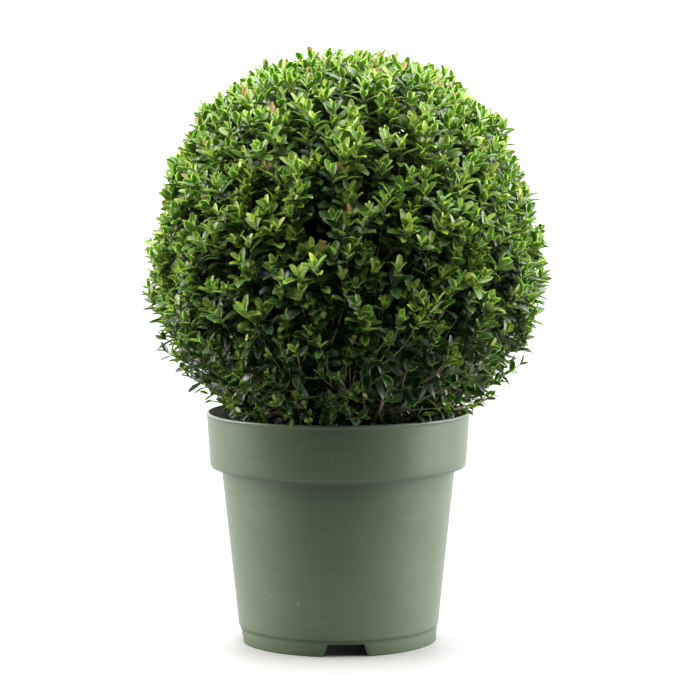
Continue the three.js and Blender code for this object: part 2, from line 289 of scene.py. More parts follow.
def leafMaterial(name, tone):
    material, tree = newMaterial(name)
    place = addNode(tree, "UVMap", {"uv_map": "own"})
    parts = addNode(tree, "SeparateXYZ", None, {"Vector": place})
    base = linear(tone["colour"])
    pale = lifted(base, *leafLook["ribLift"])
    edge = lifted(base, *leafLook["edgeLift"])
    rib = ramp(tree, parts.outputs["X"], [(0.0, edge), (0.12, base), (0.45, base), (0.5, pale), (0.55, base),
                                          (0.88, base), (1.0, edge)])
    where = addNode(tree, "TexCoord").outputs["Object"]
    cloud = addNode(tree, "TexNoise", {"Scale": leafLook["cloudScale"], "Detail": 1.0}, {"Vector": where})
    level = addNode(tree, "MapRange", spanned((0.3, 0.7), leafLook["cloudTo"]), {"Value": cloud})
    shade = addNode(tree, "VectorMath", {"operation": "SCALE"}, {0: rib, "Scale": level})
    finishMaterial(tree, {"Roughness": tone["rough"], "IOR": 1.45, "Specular IOR Level": 0.5,
                          "Subsurface Weight": leafLook["glowShare"],
                          "Subsurface Scale": leafLook["glowDepthMm"] * mm,
                          "Subsurface Radius": leafLook["glowRadii"]},
                   {"Base Color": shade})
    return material


# Bark of box: thin, pale grey-brown, split in fine upright cracks, and greenish where the wood is young.
barkTones = {
    "boxBark": {"light": "#9c8f73", "dark": "#6e604a", "crack": "#6b5c48"},
    "youngBoxBark": {"light": "#969066", "dark": "#746d47", "crack": "#8f8868"},
}
barkLook = {"grainScale": 520.0, "patchScale": 90.0, "drawnOut": (1.0, 1.0, 0.22), "crackShare": 0.7,
            "crackDepthMm": 0.6, "rough": 0.82}


def barkMaterial(name):
    light, dark, crack = (linear(barkTones[name][part]) for part in ("light", "dark", "crack"))
    material, tree = newMaterial(name)
    where = addNode(tree, "TexCoord").outputs["Object"]
    drawn = addNode(tree, "Mapping", {"Scale": barkLook["drawnOut"]}, {"Vector": where})
    grain = addNode(tree, "TexNoise", {"Scale": barkLook["grainScale"], "Detail": 4.0, "Roughness": 0.65},
                    {"Vector": drawn})
    patch = addNode(tree, "TexNoise", {"Scale": barkLook["patchScale"], "Detail": 2.0}, {"Vector": where})
    tint = ramp(tree, patch, [(0.35, dark), (0.65, light)])
    lines = ramp(tree, grain, [(0.38, crack), (0.55, (1, 1, 1, 1))])
    mixed = addNode(tree, "Mix",
                    {"data_type": "RGBA", "blend_type": "MULTIPLY", "Factor": barkLook["crackShare"]},
                    {"A": tint, "B": lines})
    bump = addNode(tree, "Bump", {"Strength": 0.5, "Distance": barkLook["crackDepthMm"] * mm},
                   {"Height": grain})
    finishMaterial(tree, {"Roughness": barkLook["rough"], "IOR": 1.45},
                   {"Base Color": mixed.outputs["Result"], "Normal": bump})
    return material


# Polypropylene, moulded with a satin tool finish and coloured sage green through and through: soft, wide
# highlights at the turn of the wall, a very fine grain, faint level lines left by the turned mould, tone and
# gloss that vary a little from place to place, and a few pale scuffs.
potFinish = {"colour": "#4b5a42", "rough": (0.31, 0.43), "grainMm": 1.1, "grainDepthMm": 0.4,
             "patchMm": 45.0, "lowTone": 0.93, "highTone": 1.07, "lineMm": 2.2,
             "lineDrawnOut": (0.04, 0.04, 1.0), "scuffMm": 7.0, "scuffFrom": (0.70, 0.78),
             "scuffLift": (1.6, 0.02)}


def potMaterial():
    look = potFinish
    material, tree = newMaterial("sageGreenPolypropylene")
    where = addNode(tree, "TexCoord").outputs["Object"]
    drawn = addNode(tree, "Mapping", {"Scale": look["lineDrawnOut"]}, {"Vector": where})
    grain, patch, lines, spots = (
        addNode(tree, "TexNoise", {"Scale": 1000 / look[size], "Detail": detail}, {"Vector": place})
        for size, detail, place in (("grainMm", 2.0, where), ("patchMm", 3.0, where),
                                    ("lineMm", 2.0, drawn), ("scuffMm", 4.0, where)))
    base = linear(look["colour"])
    mixed = addNode(tree, "Math", {"operation": "ADD"}, {0: patch, 1: lines})
    half = addNode(tree, "Math", {"operation": "MULTIPLY", 1: 0.5}, {0: mixed})
    tone = ramp(tree, half, [(0.38, lifted(base, look["lowTone"])), (0.62, lifted(base, look["highTone"]))])
    scuff = addNode(tree, "MapRange", spanned(look["scuffFrom"]), {"Value": spots})
    worn = addNode(tree, "Mix", {"data_type": "RGBA"}, {"A": tone, "Factor": scuff})
    worn.inputs["B"].default_value = lifted(base, *look["scuffLift"])
    dull = addNode(tree, "MapRange", spanned((0.0, 1.0), look["rough"]), {"Value": patch})
    bump = addNode(tree, "Bump", {"Strength": 0.12, "Distance": look["grainDepthMm"] * mm},
                   {"Height": grain})
    finishMaterial(tree, {"IOR": 1.49},
                   {"Base Color": worn.outputs["Result"], "Roughness": dull, "Normal": bump})
    return material


# Potting compost: dark peat and bark crumbs, nearly black where damp, with no gloss.
compostLook = {"tones": ((0.35, "#120d0a"), (0.6, "#33261c"), (0.75, "#5a4635")), "crumbScale": 330.0,
               "crumbDepthMm": 2.0, "rough": 0.95}


def compostMaterial():
    material, tree = newMaterial("dampCompost")
    where = addNode(tree, "TexCoord").outputs["Object"]
    crumbs = addNode(tree, "TexNoise",
                     {"Scale": compostLook["crumbScale"], "Detail": 5.0, "Roughness": 0.7},
                     {"Vector": where})
    tint = ramp(tree, crumbs, [(place, linear(colour)) for place, colour in compostLook["tones"]])
    bump = addNode(tree, "Bump", {"Strength": 0.8, "Distance": compostLook["crumbDepthMm"] * mm},
                   {"Height": crumbs})
    finishMaterial(tree, {"Roughness": compostLook["rough"], "IOR": 1.4},
                   {"Base Color": tint, "Normal": bump})
    return material


# The container.

potShape = {"height": 244.0, "rimRadius": 140.0, "bandHeight": 58.0, "bandFootRadius": 135.8,
            "lipHeight": 3.4, "lipProud": 0.9, "wallTopRadius": 124.1, "wallFootRadius": 106.4,
            "footHeight": 16.8, "footTopRadius": 105.6, "footRadius": 104.4, "wall": 2.4, "footWall": 3.4,
            "floorUnderside": 13.2, "floor": 2.6, "notches": 4, "notchTurn": math.radians(4.4),
            "notchBelow": 46.5, "notchAbove": 37.5, "notchHeight": 12.8, "drains": 8, "drainRadius": 6.0,
            "drainAt": 72.0, "turns": 192, "turnGap": 0.012, "edgeFrom": 38}
bandFoot = potShape["height"] - potShape["bandHeight"]
rimInner = potShape["rimRadius"] - potShape["lipProud"] - potShape["wall"]
floorTop = potShape["floorUnderside"] + potShape["floor"]


def potTurns():
    # Even turns, with extra ones where the sides of the notches start and end; an even one that comes too
    # near an extra one is left out.
    s = potShape
    even = np.arange(s["turns"]) * 2 * math.pi / s["turns"]
    low = math.asin(s["notchBelow"] / 2 / s["footRadius"])
    high = math.asin(s["notchAbove"] / 2 / s["footRadius"])
    middles = s["notchTurn"] - math.pi / 2 + np.arange(s["notches"])[:, None] * 2 * math.pi / s["notches"]
    marks = (middles + np.array([-low, -high, high, low])).ravel()
    turns = np.unique(np.round(np.mod(np.concatenate([even, marks]), 2 * math.pi), 6))
    marks = np.round(np.mod(marks, 2 * math.pi), 6)
    near = np.abs(np.angle(np.exp(1j * (marks[None] - turns[:, None])))).min(axis=1)
    return turns[(near < 1e-6) | (near > s["turnGap"])], low, high


def notchLift(turns, low, high):
    # Height of the foot's edge above the ground: zero, rising along each notch's slanted sides to its top.
    quarter = 2 * math.pi / potShape["notches"]
    away = np.abs(np.mod(turns - potShape["notchTurn"] + 1.5 * quarter, quarter) - quarter / 2)
    return potShape["notchHeight"] * fade(away, low, high)


def potProfile():
    # Radius and height of each point, and whether it rises with the notches: from the floor's underside out
    # round the foot ring, up the wall, round the band and the lip, and down inside to the floor.
    s = potShape
    foot, footTop, wallFoot, wallTop, band, rim = (
        s[part + "Radius"] for part in ("foot", "footTop", "wallFoot", "wallTop", "bandFoot", "rim"))
    top, ledge = s["height"], s["footHeight"]
    footInner, lip, bandTop = foot - s["footWall"], top - s["lipHeight"], rim - s["lipProud"]
    ring = [(footInner, s["floorUnderside"])]
    edge = [(footInner, 1.0), (footInner + 0.5, 0.0), (foot - 0.5, 0.0), (foot, 0.6), (foot + 0.15, 1.4),
            (footTop - 0.35, 12.6)]
    wall = [(footTop, ledge - 0.6), (footTop + 0.5, ledge), (wallFoot, ledge + 0.5),
            (wallFoot + 0.15, ledge + 1.4)]
    slope = (wallTop - wallFoot) / (bandFoot - ledge)
    wall += [(wallFoot + slope * (z - ledge), z) for z in np.linspace(ledge + 8, bandFoot - 6, 8)]
    wall += [(wallTop - 0.1, bandFoot - 1.6), (wallTop + 0.5, bandFoot - 0.5), (band - 3.0, bandFoot - 0.3),
             (band - 1.2, bandFoot + 0.1), (band - 0.3, bandFoot + 1.2), (band, bandFoot + 2.8)]
    slope = (bandTop - band) / (s["bandHeight"] - s["lipHeight"])
    wall += [(band + slope * (z - bandFoot), z) for z in np.linspace(bandFoot + 10, lip - 3, 4)]
    wall += [(bandTop, lip - 0.5), (bandTop + 0.15, lip), (rim - 0.2, top - 2.7), (rim, top - 1.8),
             (rim - 0.2, top - 0.8), (rim - 0.9, top - 0.15), (rim - 1.6, top), (rimInner + 0.9, top),
             (rimInner + 0.3, top - 0.3), (rimInner, top - 1.2)]
    thick = s["wall"]
    inside = [(band - thick, bandFoot + thick + 1), (wallTop - thick, bandFoot),
              (wallFoot - thick, floorTop + 1.0), (wallFoot - thick - 1, floorTop)]
    profile = np.array(ring + edge + wall + inside)
    rises = np.zeros(len(profile))
    rises[len(ring):len(ring + edge)] = 1
    return profile[:, 0], profile[:, 1], rises


def makePot(material):
    # The profile turned about the upright axis; the foot's edge follows the notches, and the floor closes
    # the profile at both of its ends.
    turns, low, high = potTurns()
    radius, height, rises = potProfile()
    rises = rises * fade(height, potShape["footHeight"], 0)
    height = height[:, None] + rises[:, None] * notchLift(turns, low, high)
    points = around(radius[:, None], turns[None], height)
    poles = np.array([[0, 0, potShape["floorUnderside"]], [0, 0, floorTop]])
    vertices = np.concatenate([points.reshape(-1, 3), poles]) + potAt
    piece = putMesh("containerBody", vertices, ringFaces(len(radius), len(turns)), [material])
    cutDrains(piece)
    piece.data.set_sharp_from_angle(angle=math.radians(potShape["edgeFrom"]))
    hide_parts("pot")


def cutDrains(piece):
    # Round holes through the floor, cut with one set of short cylinders.
    s = potShape
    turn = s["notchTurn"] + (np.arange(s["drains"]) + 0.5) * 2 * math.pi / s["drains"]
    foot = potAt + around(s["drainAt"], turn, s["floorUnderside"] - 4)
    tip = foot + np.array([0, 0, 10.0])
    v, f = tubes((foot, (foot + tip) / 2, tip), (s["drainRadius"], s["drainRadius"]), 24, 2)
    mesh = bpy.data.meshes.new("drainCutter")
    mesh.from_pydata((v * mm).tolist(), [], f.tolist())
    cutter = addObject("drainCutter", mesh)
    cut = piece.modifiers.new("drains", "BOOLEAN")
    cut.operation, cut.solver, cut.object = "DIFFERENCE", "EXACT", cutter
    bpy.context.view_layer.update()
    made = bpy.data.meshes.new_from_object(piece.evaluated_get(bpy.context.evaluated_depsgraph_get()))
    piece.modifiers.clear()
    piece.data = made
    made.name = piece.name
    bpy.data.objects.remove(cutter)


# The compost.

compost = {"crumbs": 900, "crumbMm": (1.2, 3.4), "lumpMm": 1.5, "levelTo": 0.76, "edgeDrop": 6.5,
           "lowerLumps": (1.1, 0.8), "rings": 44, "columns": 132, "fromRim": 1.6, "fromWall": 0.6,
           "fromFloor": 0.3, "crumbsTo": 0.97, "crumbShape": (1.25, 0.9, 0.7), "crumbJitter": 0.7}


def lumps(x, y):
    # Height of the compost's surface above its level: three crossed sine waves at each of four sizes.
    total = np.zeros_like(x)
    for k, size in enumerate((41.0, 19.0, 9.0, 4.3)):
        a = 1.1 + 2.3 * k
        wave = (np.sin(x / size * 6.28 * math.cos(a) + y / size * 6.28 * math.sin(a) + k)
                + np.sin(x / size * 5.1 * math.sin(a) - y / size * 5.9 * math.cos(a) + 2 * k)
                + np.sin((x + y) / size * 4.3 + 3 * k))
        total += wave * compost["lumpMm"] * (0.42 / (k + 1))
    return total


def edgeFall(part):
    # How far the surface has sunk at a share of its radius: level at first, then ever faster to the wall.
    return fade(part, compost["levelTo"], 1) ** 1.5 * compost["edgeDrop"]


def makeCrumbs(edge):
    # Octahedra with jittered corners, half sunk in the surface.
    i = np.arange(compost["crumbs"])
    radius = edge * compost["crumbsTo"] * np.sqrt(chance(i, 60))
    turn = chance(i, 61) * 2 * math.pi
    x, y = radius * np.cos(turn), radius * np.sin(turn)
    size = mixTo(compost["crumbMm"], chance(i, 62) ** 2)
    z = soilLevel + lumps(x, y) - edgeFall(radius / edge)
    corners = np.array([[1, 0, 0], [0, 1, 0], [-1, 0, 0], [0, -1, 0], [0, 0, 1], [0, 0, -1]], float)
    jitter = np.stack([chance(i[:, None] * 6 + np.arange(6)[None], 63 + a) for a in range(3)], -1) - 0.5
    shape = (corners[None] + jitter * compost["crumbJitter"]) * compost["crumbShape"] * size[:, None, None]
    spin = (turn * 7)[:, None]
    spun = np.stack([shape[..., 0] * np.cos(spin) - shape[..., 1] * np.sin(spin),
                     shape[..., 0] * np.sin(spin) + shape[..., 1] * np.cos(spin), shape[..., 2]], -1)
    vertices = (spun + np.stack([x, y, z], -1)[:, None]).reshape(-1, 3) + potAt
    eight = np.array([[0, 1, 4], [1, 2, 4], [2, 3, 4], [3, 0, 4],
                      [1, 0, 5], [2, 1, 5], [3, 2, 5], [0, 3, 5]])
    return vertices, (eight[None] + (i * 6)[:, None, None]).reshape(-1, 3)


def makeCompost(material):
    # A disc of rings whose heights carry the lumps, lower ones near the wall, carried down inside the wall
    # and closed on the floor.
    s = potShape
    edge = rimInner - compost["fromRim"]
    part = np.linspace(0, 1, compost["rings"])[1:, None] ** 0.8
    turn = np.arange(compost["columns"]) * 2 * math.pi / compost["columns"]
    x, y = edge * part * np.cos(turn), edge * part * np.sin(turn)
    share = np.clip(mixTo(compost["lowerLumps"], part), 0, 1)
    z = soilLevel - 0.4 + lumps(x, y) * share - edgeFall(part)
    inset = s["wall"] + compost["fromWall"]
    lowest = floorTop + compost["fromFloor"]
    wall = [(s["bandFootRadius"] - inset - 1, bandFoot + s["wall"] + 2),
            (s["wallTopRadius"] - inset, bandFoot), (s["wallFootRadius"] - inset, lowest)]
    skirt = [around(radius, turn, height) for radius, height in wall]
    poles = np.array([[0, 0, soilLevel], [0, 0, lowest]])
    vertices = np.concatenate([np.stack([x, y, z], -1).reshape(-1, 3)] + skirt + [poles]) + potAt
    faces = ringFaces(len(part) + len(wall), len(turn))[:, ::-1]
    v, f = joined([(vertices, faces), makeCrumbs(edge)])
    piece = putMesh("compostBody", v, f, [material], smooth=False)
    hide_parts("potting_soil")


# The stem and its boughs.

mainStem = {"foot": 8.8, "tip": 7.0, "flare": 4.6, "flareHeight": 9.0, "top": 252.0}
uprightBough = {"count": 8, "footAt": 36.0, "tipAt": 80.0, "below": 4.0, "radii": (5.4, 4.0),
                "bendAt": (0.3, 0.55), "bendTurn": 0.06}
lowBough = {"count": 8, "footAt": 82.0, "tipAt": 120.0, "tipHeight": 257.0, "radii": (3.6, 2.6),
            "bendAt": (0.35, 0.75)}
coreDepth, coreDrop = 43.0, 100.0  # how far the core stands inside the outline, and ends below the middle
sunk = 1.5  # limbs start this far under the compost's level


def boughCurves(shape, angle, footAt, tipAt, tipHeight, bendTurn=0.0):
    outward, upward = shape["bendAt"]
    return (potAt + around(footAt, angle, soilLevel),
            around(mixTo((footAt, tipAt), outward), angle + bendTurn, mixTo((soilLevel, tipHeight), upward)),
            around(tipAt, angle, tipHeight))


def limbCurves():
    # The same three kinds of limb as the solids have: one stem, upright boughs and low boughs.
    stem = (around(0, np.zeros(1), soilLevel) + potAt,
            around(2, np.full(1, 2.2), (soilLevel + mainStem["top"]) / 2) + potAt,
            np.array([[ball["middle"][0], 0, mainStem["top"]]]))
    i = np.arange(uprightBough["count"])
    angle = (i + 0.35 * (chance(i, 1) - 0.5)) * 2 * math.pi / uprightBough["count"]
    footAt = uprightBough["footAt"] * (0.85 + 0.4 * chance(i, 2))
    tipAt = uprightBough["tipAt"] * (0.9 + 0.2 * chance(i, 3))
    beside = np.hypot(tipAt * np.cos(angle) - ball["middle"][0], tipAt * np.sin(angle))
    beside = beside / (ball["spread"] - coreDepth)
    tipHeight = ball["middle"][2] - coreDrop * np.sqrt(1 - beside ** 2) - uprightBough["below"]
    uprights = boughCurves(uprightBough, angle, footAt, tipAt, tipHeight, uprightBough["bendTurn"])
    j = np.arange(lowBough["count"])
    lowAngle = (j + 0.5 + 0.2 * (chance(j, 4) - 0.5)) * 2 * math.pi / lowBough["count"]
    lowFoot = lowBough["footAt"] * (0.92 + 0.16 * chance(j, 5))
    return stem, uprights, boughCurves(lowBough, lowAngle, lowFoot, lowBough["tipAt"], lowBough["tipHeight"])


def barkRelief(depth):
    # Radius factor: one plus ridges that wander round the limb, made of four waves in turn and length.
    def relief(angle, t):
        a, u = angle[None, None, :], t[..., None]
        return 1 + depth * (np.sin(5 * a + 9 * u) * 0.5 + np.sin(3 * a - 17 * u + 1) * 0.35
                            + np.sin(9 * a + 31 * u) * 0.3 + np.sin(23 * u + 2 * a) * 0.3)
    return relief


def makeLimbs(material, limbs):
    stem, uprights, lows = limbs
    v, f = tubes(stem, (mainStem["foot"], mainStem["tip"]), 28, 40, barkRelief(0.07))
    # Root flare: the foot widens by a term that dies away with height.
    rise = np.clip(v[:, 2:3] - soilLevel, 0, None)
    widening = mainStem["flare"] / mainStem["foot"] * np.exp(-rise / mainStem["flareHeight"])
    v[:, :2] += (v[:, :2] - potAt[:2]) * widening
    v[:, 2] = np.maximum(v[:, 2], soilLevel - sunk)
    parts = [(v, f)]
    for curve, shape in ((uprights, uprightBough), (lows, lowBough)):
        rooted = (curve[0] - upAxis * sunk, curve[1], curve[2])
        parts.append(tubes(rooted, shape["radii"], 16, 36, barkRelief(0.09)))
    v, f = joined(parts)
    piece = putMesh("stemAndBoughs", v, f, [material])
    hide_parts("main_stem", *[f"upright_bough_{i}" for i in range(1, 9)],
                *[f"low_bough_{i}" for i in range(1, 9)])


# Branches and shoots.

branching = {"base": np.array([1.0, 0.0, 222.0]), "lowest": 243.0, "innerLowest": 288.0, "limbReach": 0.52,
             "limbBranches": 84, "branchReach": 0.76, "branches": 340, "shoots": 1750}
twigMm = {"limbBranch": (3.0, 2.0), "branch": (1.7, 1.0), "under": (1.2, 0.5), "shoot": (1.1, 0.55)}


def nearestParent(child, parentTip, parentAway):
    # The parent whose tip is nearest; a tip that the branch would have to turn back from counts as farther.
    offset = child[:, None] - parentTip[None]
    distance = np.linalg.norm(offset, axis=-1)
    ahead = np.sum(offset * parentAway[None], -1) / np.maximum(distance, 1e-6)
    return np.argmin(distance * (1.6 - 0.6 * ahead), axis=1)


def grow(tips, parentTip, parentAway):
    # Each new branch leaves its parent's tip in the parent's direction and bends to its own tip.
    parent = nearestParent(tips, parentTip, parentAway)
    foot = parentTip[parent]
    length = lengthOf(tips - foot)
    bend = foot + (parentAway[parent] * 0.5 + unit(tips - foot) * 0.5) * length * 0.5
    return foot, bend, tips


def skeleton(limbs):
    # Limb branches from the limbs' tips, branches from theirs, and the points on the outline for the shoots.
    limbTip = np.concatenate([curve[2] for curve in limbs])
    limbAway = np.concatenate([unit(curve[2] - curve[1]) for curve in limbs])
    base = branching["base"]

    def innerTips(count, reach, k):
        tips = evenOutline(count, branching["innerLowest"], k)
        return base + (tips - base) * (reach + 0.06 * (chance(np.arange(count), 70 + k) - 0.5))[:, None]

    first = grow(innerTips(branching["limbBranches"], branching["limbReach"], 2), limbTip, limbAway)
    firstAway = unit(first[2] - first[1])
    second = grow(innerTips(branching["branches"], branching["branchReach"], 4), first[2], firstAway)
    return first, second, evenOutline(branching["shoots"], branching["lowest"])


# Heights are above the ground; a pair of them is where a change starts and where it is full.
clipping = {"behind": 12.0, "topBehind": 2.5, "topAbove": (540.0, 600.0), "clump": 9.0, "uneven": 5.0,
            "strayShare": 0.06, "strayBeyond": 10.0, "strayBelow": 420.0, "thinBelow": (262.0, 382.0),
            "thinTo": 0.08, "thinByClump": 0.7, "reach": 60.0, "turnUp": 50.0, "turnLess": 22.0,
            "turnLessBelow": (285.0, 245.0), "wander": 15.0, "bendBack": 0.52, "flatAt": 615.0,
            "footOverSoil": 10.0, "bendOverSoil": 12.0}
clumpWaves = np.array([[0.093, 0.031, 0.048], [-0.044, 0.081, 0.039], [0.027, -0.062, 0.078],
                       [0.071, 0.058, -0.083]])


def clumps(place):
    # From -1 to 1: where shoots stand close and forward, and where they leave a hollow. Four crossed sine
    # waves in space, 50 to 90 mm long.
    return np.clip(np.sum(np.sin(place @ clumpWaves.T + np.arange(4) * 1.7), axis=1) / 2.2, -1, 1)


def shootWays(tips, i):
    # Direction a shoot ends in: turned up from level by half the outline's own slope and a fixed angle, and
    # lower near the pot's rim, with a wander of its own.
    radial = tips[:, :2] - ball["middle"][:2]
    turn = np.arctan2(radial[:, 1], radial[:, 0])
    z = tips[:, 2]
    slope = (outlineRadius(z + 1.5) - outlineRadius(z - 1.5)) / 3
    facing = np.degrees(np.arctan2(-slope, 1))
    raised = 0.5 * facing + clipping["turnUp"] - clipping["turnLess"] * fade(z, *clipping["turnLessBelow"])
    raised = np.radians(raised + clipping["wander"] * 2 * (chance(i, 84) - 0.5))
    turn = turn + np.radians(clipping["wander"] * 2.4 * (chance(i, 85) - 0.5))
    return around(np.cos(raised), turn, np.sin(raised))


def shootCurves(second, tips):
    # Shoots end a little behind the outline, forward in a clump and back between clumps; a few grow past it.
    # Towards the rim most are left out.
    i = np.arange(len(tips))
    out = unit(tips - branching["base"])
    behind = (clipping["behind"] + clipping["topBehind"] * fade(tips[:, 2], *clipping["topAbove"])
              - clipping["clump"] * clumps(tips) + clipping["uneven"] * 2 * (chance(i, 80) - 0.5))
    stray = (chance(i, 81) < clipping["strayShare"]) & (tips[:, 2] < clipping["strayBelow"])
    behind = np.where(stray, -clipping["strayBeyond"] * chance(i, 82) + 2, np.maximum(behind, 1))
    ends = tips - out * behind[:, None]
    ends[:, 2] = np.minimum(ends[:, 2], clipping["flatAt"])
    full = fade(ends[:, 2], *clipping["thinBelow"])
    byClump = clipping["thinByClump"] * (1 - full) * clumps(ends)
    kept = chance(i, 83) < mixTo((clipping["thinTo"], 1), full) + byClump
    ends, i = ends[kept], i[kept]
    ways = shootWays(ends, i)
    lower = ends - ways * clipping["reach"]
    lower[:, 2] = np.maximum(lower[:, 2], soilLevel + clipping["footOverSoil"])
    foot = second[2][nearestParent(lower, second[2], unit(second[2] - second[1]))]
    length = lengthOf(ends - foot)
    bend = ends - ways * length * clipping["bendBack"]
    bend[:, 2] = np.maximum(bend[:, 2], soilLevel + clipping["bendOverSoil"])
    return (foot, bend, ends), i


# Long bare stems that leave the low boughs near the rim and fan out under the ball's widest level.
fan = {"stems": 165, "from": (0.0, 0.96), "spread": 1.05, "height": (250.0, 400.0), "behind": (3.0, 34.0),
       "rimBelow": 275.0, "overRim": 14.0, "bow": 0.10, "thick": (1.0, 3.4), "tipShare": 0.4}


def fanCurves(lows):
    # Feet lie along the low boughs. Most tips are low; they end behind the outline, or past it over the rim.
    # A stem bows up and in by a share of its length, and some bow down and out.
    i = np.arange(fan["stems"])
    bough = i % lowBough["count"]
    foot = curveAt([c[bough] for c in lows], mixTo(fan["from"], chance(i, 130))[:, None])[:, 0]
    turn = np.arctan2(foot[:, 1], foot[:, 0] - ball["middle"][0]) + fan["spread"] * (chance(i, 131) - 0.5)
    height = mixTo(fan["height"], chance(i, 132) ** 1.8)
    rimward = fade(height, fan["rimBelow"], fan["height"][0])
    behind = mixTo(fan["behind"], chance(i, 133) * (1 - 0.6 * rimward)) - fan["overRim"] * rimward
    tip = ball["middle"] * [1, 1, 0] + around(outlineRadius(height) - behind, turn, height)
    length = lengthOf(tip - foot)
    out = unit((tip - foot) * [1, 1, 0])
    bend = (foot + tip) / 2 + (upAxis - out) * length * fan["bow"] * (chance(i, 134)[:, None] * 2 - 0.8)
    return foot, bend, tip


# Short shoots low on all the boughs, which close the space between the compost and the ball.
under = {"shoots": 150, "from": (0.1, 0.8), "spread": 1.2, "radius": (42.0, 130.0), "height": (243.0, 290.0)}


def underCurves(uprights, lows):
    # Feet lie along all the boughs, and the tips are spread evenly over a ring; each shoot bows up a little.
    i = np.arange(under["shoots"])
    boughs = [np.concatenate(pair) for pair in zip(uprights, lows)]
    bough = i % len(boughs[0])
    foot = curveAt([c[bough] for c in boughs], mixTo(under["from"], chance(i, 140))[:, None])[:, 0]
    turn = np.arctan2(foot[:, 1], foot[:, 0] - potAt[0]) + under["spread"] * (chance(i, 141) - 0.5)
    radius = mixTo(under["radius"], np.sqrt(chance(i, 142)))
    tip = potAt + around(radius, turn, mixTo(under["height"], chance(i, 143)))
    length = lengthOf(tip - foot)
    bend = (foot + tip) / 2 + upAxis * length * 0.12
    return foot, bend, tip


# Leaves.

leaf = {"length": 20.5, "widthShare": 0.47, "thick": 0.35, "fold": 0.22, "curl": 0.15, "fullAt": 14.0}
# Rows of place along the leaf and half width there: an oval with a blunt tip.
fineRows = np.array([[0.10, 0.46], [0.31, 0.90], [0.56, 1.0], [0.81, 0.82], [0.95, 0.50]])
plainRows = np.array([[0.14, 0.56], [0.54, 1.0], [0.90, 0.66]])


def leafTemplate(rows):
    # One leaf of length one: a root, rows of left edge, midrib and right edge, and a tip. The upper face and
    # the under face share the edge; the midrib has an upper and a lower point.
    points = [(0, 0, 0)]
    for along, half in rows:
        points += [(-half, along, 0), (0, along, 1), (half, along, 0), (0, along, -1)]
    points.append((0, 1, 0))
    points = np.array(points, float)
    last = len(points) - 1
    quads = [range(start, start + 4) for start in range(1, last, 4)]
    left, rib, right, below = quads[0]
    upper = [(0, rib, left), (0, right, rib)]
    lower = [(0, left, below), (0, below, right)]
    for (left, rib, right, below), (nextLeft, nextRib, nextRight, nextBelow) in zip(quads, quads[1:]):
        upper += [(left, rib, nextRib), (left, nextRib, nextLeft),
                  (rib, right, nextRight), (rib, nextRight, nextRib)]
        lower += [(left, nextBelow, below), (left, nextLeft, nextBelow),
                  (below, nextRight, right), (below, nextBelow, nextRight)]
    left, rib, right, below = quads[-1]
    upper += [(left, rib, last), (rib, right, last)]
    lower += [(left, last, below), (below, last, right)]
    rim = [0] + [quad[0] for quad in quads] + [last] + [quad[2] for quad in reversed(quads)]
    sharp = np.zeros((len(points), len(points)), bool)
    for a, b in zip(rim, rim[1:] + rim[:1]):
        sharp[a, b] = sharp[b, a] = True
    faces = np.array(upper + lower)
    isUnder = np.arange(len(faces)) >= len(upper)
    uvPoints = np.stack([0.5 + 0.5 * np.sign(points[:, 0]), points[:, 1]], 1)
    return points, faces, isUnder, uvPoints, sharp


def layLeaves(template, root, along, face, length, width, curl):
    # Places the template: sideways by width, forwards by length, and folded up at the edges; curl bends the
    # blade back by the square of the distance along it.
    points = template[0]
    side = unit(np.cross(along, face))
    normal = np.cross(side, along)
    x = points[None, :, 0] * (width / 2)[:, None]
    y = points[None, :, 1] * length[:, None]
    rise = leaf["fold"] * np.abs(x) * 2 + points[None, :, 2] * leaf["thick"] / 2
    bent = rise - curl[:, None] * points[None, :, 1] ** 2 * length[:, None]
    vertices = (root[:, None] + x[..., None] * side[:, None] + y[..., None] * along[:, None]
                + bent[..., None] * normal[:, None])
    faces = (template[1][None] + (np.arange(len(root)) * len(points))[:, None, None]).reshape(-1, 3)
    return vertices.reshape(-1, 3), faces


# How leaves stand: pairs are counted back from a tip; spacing, lean and size go from the tip pair's to a
# full leaf's. Sprays near the rim have narrow leaves farther apart, and shoots there keep few of their old
# ones.
shootHabit = {"pairs": 6, "startAt": 1.0, "spacing": (3.4, 8.2), "lean": (0.36, 1.16), "size": (0.60, 1.0),
              "widthShare": 1.0, "missing": 0.06, "thins": 1.0}
fanHabit = shootHabit | {"pairs": 10, "spacing": (5.5, 11.0), "lean": (0.40, 1.10), "size": (0.50, 0.90),
                         "widthShare": 0.92, "missing": 0.12, "thins": 0.3}
branchHabit = shootHabit | {"pairs": 15, "startAt": 2.0, "spacing": (5.5, 8.4), "lean": (0.8, 1.3),
                            "size": (1.15, 1.35), "widthShare": 1.2, "missing": 0.0}
boughHabit = shootHabit | {"pairs": 8, "spacing": (8.0, 9.0), "lean": (0.9, 1.35), "size": (0.95, 1.15),
                           "widthShare": 0.95, "missing": 0.05, "thins": 0.0}
underHabit = boughHabit | {"pairs": 7, "spacing": (5.0, 9.0), "lean": (0.50, 1.20), "size": (0.75, 1.05),
                           "missing": 0.06}
lowHabit = {"below": (350.0, 270.0), "narrower": 0.10, "smaller": 0.16, "farther": 0.45, "missing": 0.40}


# How much leaves differ by chance, as ranges of a share or as widths in radians, and how far they turn up.
scatter = {"vigour": (0.80, 1.20), "length": (0.80, 1.16), "width": (0.86, 1.14), "curl": (0.3, 1.5),
           "lean": 0.30, "tilt": 0.35, "twist": 0.50, "face": 0.50}
upTurn = {"along": 0.10, "face": 0.25}


def gathered(sets):
    return {k: np.concatenate([leaves[k] for leaves in sets]) for k in sets[0]}


